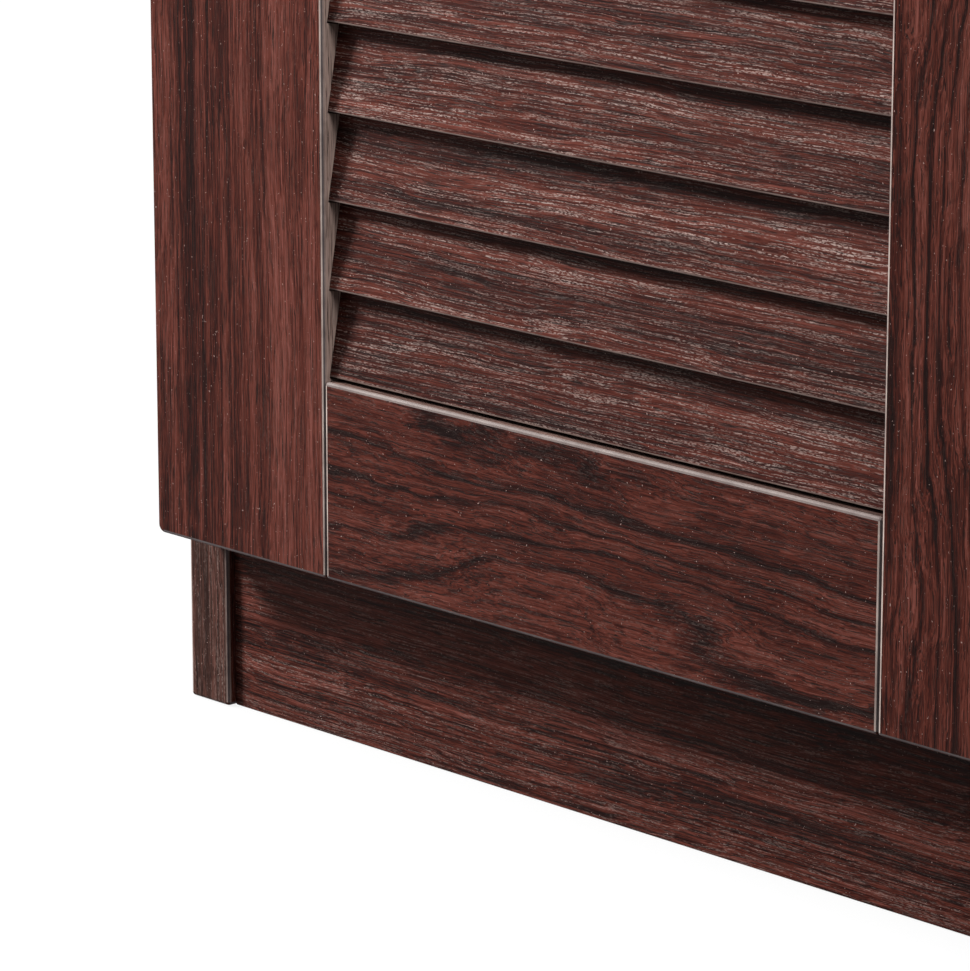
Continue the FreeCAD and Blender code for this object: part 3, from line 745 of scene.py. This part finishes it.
# Die-cast zinc is darker and rougher than the plating, with a sandy skin.
cast_zinc = plated_metal("die_cast_zinc", "#7d8184", "#a2a6a9", roughness=0.45,
                         grain_mm=0.5, depth_mm=0.04)
cast_round = 0.35 * MM
finish_cad(["carcass_dowels", "door_left_rail_dowels", "door_right_rail_dowels"], turned_beech())
softened("cam_locks", "carcass", cast_zinc, cast_round)
finish_cad(["cam_bolts"], zinc_steel)

# ---- Shelf supports -------------------------------------------------------------------------
# Four collared pegs of zinc-plated steel stand under each shelf. They are turned,
# and push into the 5 mm holes of the side panels; the shelf lies loose on them.

softened("shelf_pins", "carcass", zinc_steel, fine_round)

# ---- Hinges -------------------------------------------------------------------------------
# Concealed cup hinges of nickel-plated steel: a 35 mm cup let into the door, an arm,
# and a mounting plate screwed to the side panel.

# Nickel plating is warmer and brighter than the zinc, nearly a mirror on the cups.
nickel_steel = plated_metal("nickel_plated_steel", "#b3afa6", "#cfccc4", roughness=0.25,
                            grain_mm=0.6, depth_mm=0.015)
pressed_round = 0.35 * MM


def solid_boxes(node):
    """(low, high) corners of each separate solid of a CAD node."""
    merged_copy(node)
    bpy.ops.object.mode_set(mode="EDIT")
    bpy.ops.mesh.select_all(action="SELECT")
    bpy.ops.mesh.separate(type="LOOSE")
    bpy.ops.object.mode_set(mode="OBJECT")
    boxes = []
    for part in list(bpy.context.selected_objects):
        columns = list(zip(*[vertex.co for vertex in part.data.vertices]))
        boxes.append((Vector([min(c) for c in columns]), Vector([max(c) for c in columns])))
        bpy.data.objects.remove(part)
    return sorted(boxes, key=lambda corners: tuple(corners[0]))


def cross_head_screw(head_radius, head_height, shank_radius, length):
    """A pan-head screw with a cross recess, head up, seated at the origin."""
    dome = head_height * 0.7
    blade_size = (head_radius * 1.1, head_radius * 0.24, head_height * 1.2)
    tip_radius = shank_radius * 0.35
    bpy.ops.object.select_all(action="DESELECT")
    bpy.ops.mesh.primitive_cylinder_add(vertices=28, radius=head_radius, depth=head_height,
                                        location=(0, 0, head_height / 2))
    head = bpy.context.object
    bpy.ops.object.transform_apply(location=True)
    for vertex in head.data.vertices:
        vertex.select = vertex.co.z > head_height * 0.9
    for edge in head.data.edges:
        edge.select = all(head.data.vertices[v].select for v in edge.vertices)
    for face in head.data.polygons:
        face.select = face.normal.z > 0.9
    bpy.ops.object.mode_set(mode="EDIT")
    bpy.ops.mesh.bevel(offset=dome, segments=4, affect="EDGES")
    bpy.ops.object.mode_set(mode="OBJECT")
    for quarter in (0, 90):
        bpy.ops.object.select_all(action="DESELECT")
        bpy.ops.mesh.primitive_cube_add(size=1, location=(0, 0, head_height),
                                        rotation=(0, 0, math.radians(quarter)))
        blade = bpy.context.object
        blade.scale = blade_size
        cut_with(head, blade)
    bpy.ops.object.select_all(action="DESELECT")
    bpy.ops.mesh.primitive_cone_add(vertices=16, radius1=tip_radius, radius2=shank_radius,
                                    depth=length,
                                    location=(0, 0, -length / 2))
    return join_all([head, bpy.context.object])


def cross_screws(node, body, head_radius, head_height, shank_radius, towards=None):
    """Screws in the places of a CAD node's, their heads facing a direction or inwards.

    Their sizes are in mm.
    """
    head_radius, head_height, shank_radius = (
        head_radius * MM, head_height * MM, shank_radius * MM)
    screws = []
    for low, high in solid_boxes(node):
        facing = towards or Vector((-math.copysign(1, (low + high).x), 0, 0))
        axis = max(range(3), key=lambda i: abs(facing[i]))
        length = (high - low)[axis] - head_height
        screw = cross_head_screw(head_radius, head_height, shank_radius, length)
        seat = (low + high) / 2
        seat[axis] += facing[axis] * ((high - low)[axis] / 2 - head_height)
        screw.rotation_euler = facing.to_track_quat("Z", "Y").to_euler()
        screw.location = seat
        screws.append(screw)
    select_only(screws)
    bpy.ops.object.transform_apply(location=True, rotation=True, scale=True)
    screw = join_all(screws) if len(screws) > 1 else screws[0]
    screw.name = node + "_cross_head"
    screw.data.materials.append(zinc_steel)
    finish_piece(screw, node, body, 40)


for node, body in (("hinge_plates", "carcass"), ("hinge_arms", "carcass"),
                   ("door_left_hinge_cups", "door_left"),
                   ("door_right_hinge_cups", "door_right")):
    softened(node, body, nickel_steel, pressed_round)
finish_cad(["door_left_hinge_pins", "door_right_hinge_pins"], zinc_steel)
backwards = Vector((0, 1, 0))
cross_screws("hinge_plate_screws", "carcass", head_radius=3.8, head_height=1.5, shank_radius=1.75)
cross_screws("hinge_arm_screws", "carcass", head_radius=3.6, head_height=2.0, shank_radius=2.0)
for side in ("left", "right"):
    cross_screws("door_" + side + "_hinge_cup_screws", "door_" + side,
                 head_radius=3.0, head_height=0.8, shank_radius=1.6, towards=backwards)

# ---- Knobs --------------------------------------------------------------------------------
# A turned round knob on each door at half height, in satin nickel, held by a screw
# from behind.

# Distances out from the door and radii there, in mm.
knob_profile = [(0, 8.2), (1.2, 8.2), (1.8, 7.6), (2.6, 6.2), (4.5, 5.6), (7.0, 5.9), (9.0, 7.6),
                (10.5, 10.4), (12.0, 12.6), (13.8, 13.8), (15.6, 14.0), (17.6, 13.6), (19.6, 12.2),
                (21.0, 10.4), (21.3, 9.8), (21.1, 9.3), (21.7, 8.8), (23.0, 5.6), (23.8, 2.6),
                (24.0, 0.4)]


def turned_knob(centre_x, back_y, centre_z):
    """A disc drawn out along the knob's profile, ring by ring, as on a lathe."""
    bpy.ops.object.select_all(action="DESELECT")
    bpy.ops.mesh.primitive_circle_add(vertices=56, radius=knob_profile[0][1] * MM,
                                      fill_type="NGON", location=(centre_x, back_y, centre_z),
                                      rotation=(math.radians(90), 0, 0))
    knob = bpy.context.object
    bpy.ops.object.transform_apply(location=True, rotation=True)
    bpy.ops.object.mode_set(mode="EDIT")
    bpy.ops.mesh.select_all(action="SELECT")
    for (out, radius), (next_out, next_radius) in zip(knob_profile, knob_profile[1:]):
        bpy.ops.mesh.extrude_region_move(
            TRANSFORM_OT_translate={"value": (0, -(next_out - out) * MM, 0)})
        bpy.ops.transform.resize(value=(next_radius / radius, 1, next_radius / radius))
    bpy.ops.mesh.select_all(action="DESELECT")
    bpy.ops.mesh.select_non_manifold()
    bpy.ops.mesh.edge_face_add()
    bpy.ops.mesh.select_all(action="SELECT")
    bpy.ops.mesh.normals_make_consistent(inside=False)
    bpy.ops.object.mode_set(mode="OBJECT")
    return knob


# Satin nickel: a soft warm grey with a broad highlight, from fine brushing.
satin_nickel = plated_metal("satin_nickel_knob", "#8f8a83", "#b1aca4", roughness=0.3,
                            grain_mm=0.25, depth_mm=0.01)
for side in ("left", "right"):
    body = "door_" + side
    low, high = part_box(body + "_knob")
    knob = turned_knob((low.x + high.x) / 2, high.y, (low.z + high.z) / 2)
    knob.name = body + "_turned_knob"
    knob.data.materials.append(satin_nickel)
    finish_piece(knob, body + "_knob", body, 35)
    cross_screws(body + "_knob_screw", body,
                 head_radius=4.0, head_height=1.8, shank_radius=2.0, towards=backwards)

# ---- Magnetic catches ---------------------------------------------------------------------
# Under the top, a brown moulded housing with a ferrite magnet for each door, and a
# thin steel plate on the back of the door.


def moulded_plastic(name, dark, light):
    """Moulded ABS with a fine spark-eroded texture."""
    material, tree, output = new_material(name)
    place = add_node(tree, "ShaderNodeTexCoord").outputs["Object"]
    spark_width = 0.7 * MM
    grain = add_node(tree, "ShaderNodeTexNoise", {
        "Vector": place, "Scale": 1 / spark_width, "Detail": 3.0}).outputs["Fac"]
    ramp = add_node(tree, "ShaderNodeValToRGB", {"Fac": grain})
    fill_ramp(ramp, [(0.3, dark), (0.7, light)])
    relief = add_node(tree, "ShaderNodeBump", {
        "Height": grain, "Distance": 0.04 * MM, "Strength": 0.5}).outputs["Normal"]
    shader = add_node(tree, "ShaderNodeBsdfPrincipled", {
        "Base Color": ramp.outputs["Color"], "Roughness": 0.5, "Normal": relief})
    tree.links.new(shader.outputs[0], output.inputs["Surface"])
    return material


# Brown ABS with a dull even skin, and a charcoal ferrite block in its mouth.
brown_abs = moulded_plastic("brown_moulded_abs", "#3a2620", "#4a322a")
ferrite = moulded_plastic("sintered_ferrite", "#2b2b2d", "#3d3d40")
moulded_round = 0.8 * MM
softened("catch_housings", "carcass", brown_abs, moulded_round)
softened("catch_magnets", "carcass", ferrite, fine_round)
cross_screws("catch_screws", "carcass",
             head_radius=2.8, head_height=1.2, shank_radius=1.5, towards=Vector((0, 0, -1)))
for side in ("left", "right"):
    body = "door_" + side
    softened(body + "_strike_plate", body, zinc_steel, fine_round)
    cross_screws(body + "_strike_screw", body,
                 head_radius=2.4, head_height=0.4, shank_radius=1.2, towards=backwards)

# ---- Studio ---------------------------------------------------------------------
# A plain white paper floor that runs out of sight, and five softboxes: a key from
# the front left, a fill from the right, and weaker ones above, behind and low down.

floor_size = 40
floor_drop = 0.2 * MM
bpy.ops.object.select_all(action="DESELECT")
bpy.ops.mesh.primitive_plane_add(size=floor_size, location=(0, 0, -floor_drop))
floor = bpy.context.object
floor.name = "studio_floor"


def seen_by_eye(tree):
    """1 for what is looked at, straight or in a gloss; 0 for the light it throws."""
    rays = add_node(tree, "ShaderNodeLightPath")
    return add_node(tree, "ShaderNodeMath", {
        0: rays.outputs["Is Camera Ray"], 1: rays.outputs["Is Glossy Ray"]},
        operation="MAXIMUM").outputs[0]


# To the eye the paper is a quarter real, which keeps the cabinet's shadow, and three
# quarters plain white. It throws back little light, so that the shade stays deep.
white, tree, output = new_material("white_seamless_paper")
seen = seen_by_eye(tree)
dim = add_node(tree, "ShaderNodeBsdfDiffuse", {"Color": (0.06, 0.06, 0.06, 1)})
paper = add_node(tree, "ShaderNodeBsdfDiffuse", {"Color": (0.3, 0.3, 0.3, 1)})
glow = add_node(tree, "ShaderNodeEmission", {"Color": (1, 1, 1, 1), "Strength": 1.16})
lit = add_node(tree, "ShaderNodeMixShader", {0: 0.75, 1: paper.outputs[0], 2: glow.outputs[0]})
mixed = add_node(tree, "ShaderNodeMixShader", {0: seen, 1: dim.outputs[0], 2: lit.outputs[0]})
tree.links.new(mixed.outputs[0], output.inputs["Surface"])
floor.data.materials.append(white)

# The room is plain white to the eye too, but lights the cabinet only faintly.
world = bpy.data.worlds.new("studio")
bpy.context.scene.world = world
world.use_nodes = True
world.node_tree.nodes.clear()
seen = seen_by_eye(world.node_tree)
strength = add_node(world.node_tree, "ShaderNodeMapRange", {
    "Value": seen, "To Min": 0.15, "To Max": 1.0})
sky = add_node(world.node_tree, "ShaderNodeBackground", {
    "Color": (1, 1, 1, 1), "Strength": strength.outputs[0]})
add_node(world.node_tree, "ShaderNodeOutputWorld", {"Surface": sky.outputs[0]})


def softbox(name, azimuth, elevation, distance, size, power):
    """A square area light aimed at the middle of the cabinet; azimuth 0 is the front."""
    turn = math.radians(azimuth)
    rise = math.radians(elevation)
    away = Vector((math.sin(turn) * math.cos(rise), -math.cos(turn) * math.cos(rise),
                   math.sin(rise)))
    bpy.ops.object.light_add(type="AREA", location=middle + away * distance)
    lamp = bpy.context.object
    lamp.name = name
    lamp.data.size = size
    lamp.data.energy = power
    lamp.rotation_euler = away.to_track_quat("Z", "Y").to_euler()


middle = Vector((0, 0, (cad_box[0][2] + cad_box[1][2]) / 2))
softbox("key_from_the_front_left",
        azimuth=-60, elevation=26.5, distance=2.6, size=0.5, power=152)
softbox("sheen_from_the_left", azimuth=-48, elevation=6, distance=2.6, size=1.0, power=4)
softbox("fill_from_the_right", azimuth=87, elevation=12, distance=2.6, size=0.9, power=96)
softbox("light_from_above", azimuth=0, elevation=80, distance=2.4, size=1.4, power=60)
softbox("light_from_behind", azimuth=165, elevation=24, distance=2.8, size=1.6, power=60)

# ---- Camera ------------------------------------------------------------------------
# A long lens at 46 degrees to the right and 14 degrees above, placed from the lower
# left corner of the left door.

camera_stand = Vector((1.1559, -0.9743, 0.4013))
camera_round = 46.0
camera_down = 14.374
long_lens = 185.4
full_frame = 36
nearest_seen = 50 * MM

door_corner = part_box("door_left_stile_outer")[0]
bpy.ops.object.camera_add(location=door_corner + camera_stand,
                          rotation=(math.radians(90 - camera_down), 0,
                                    math.radians(camera_round)))
camera = bpy.context.object
camera.data.lens = long_lens
camera.data.sensor_width = full_frame
camera.data.clip_start = nearest_seen
bpy.context.scene.camera = camera
bpy.context.scene.view_settings.view_transform = "Standard"
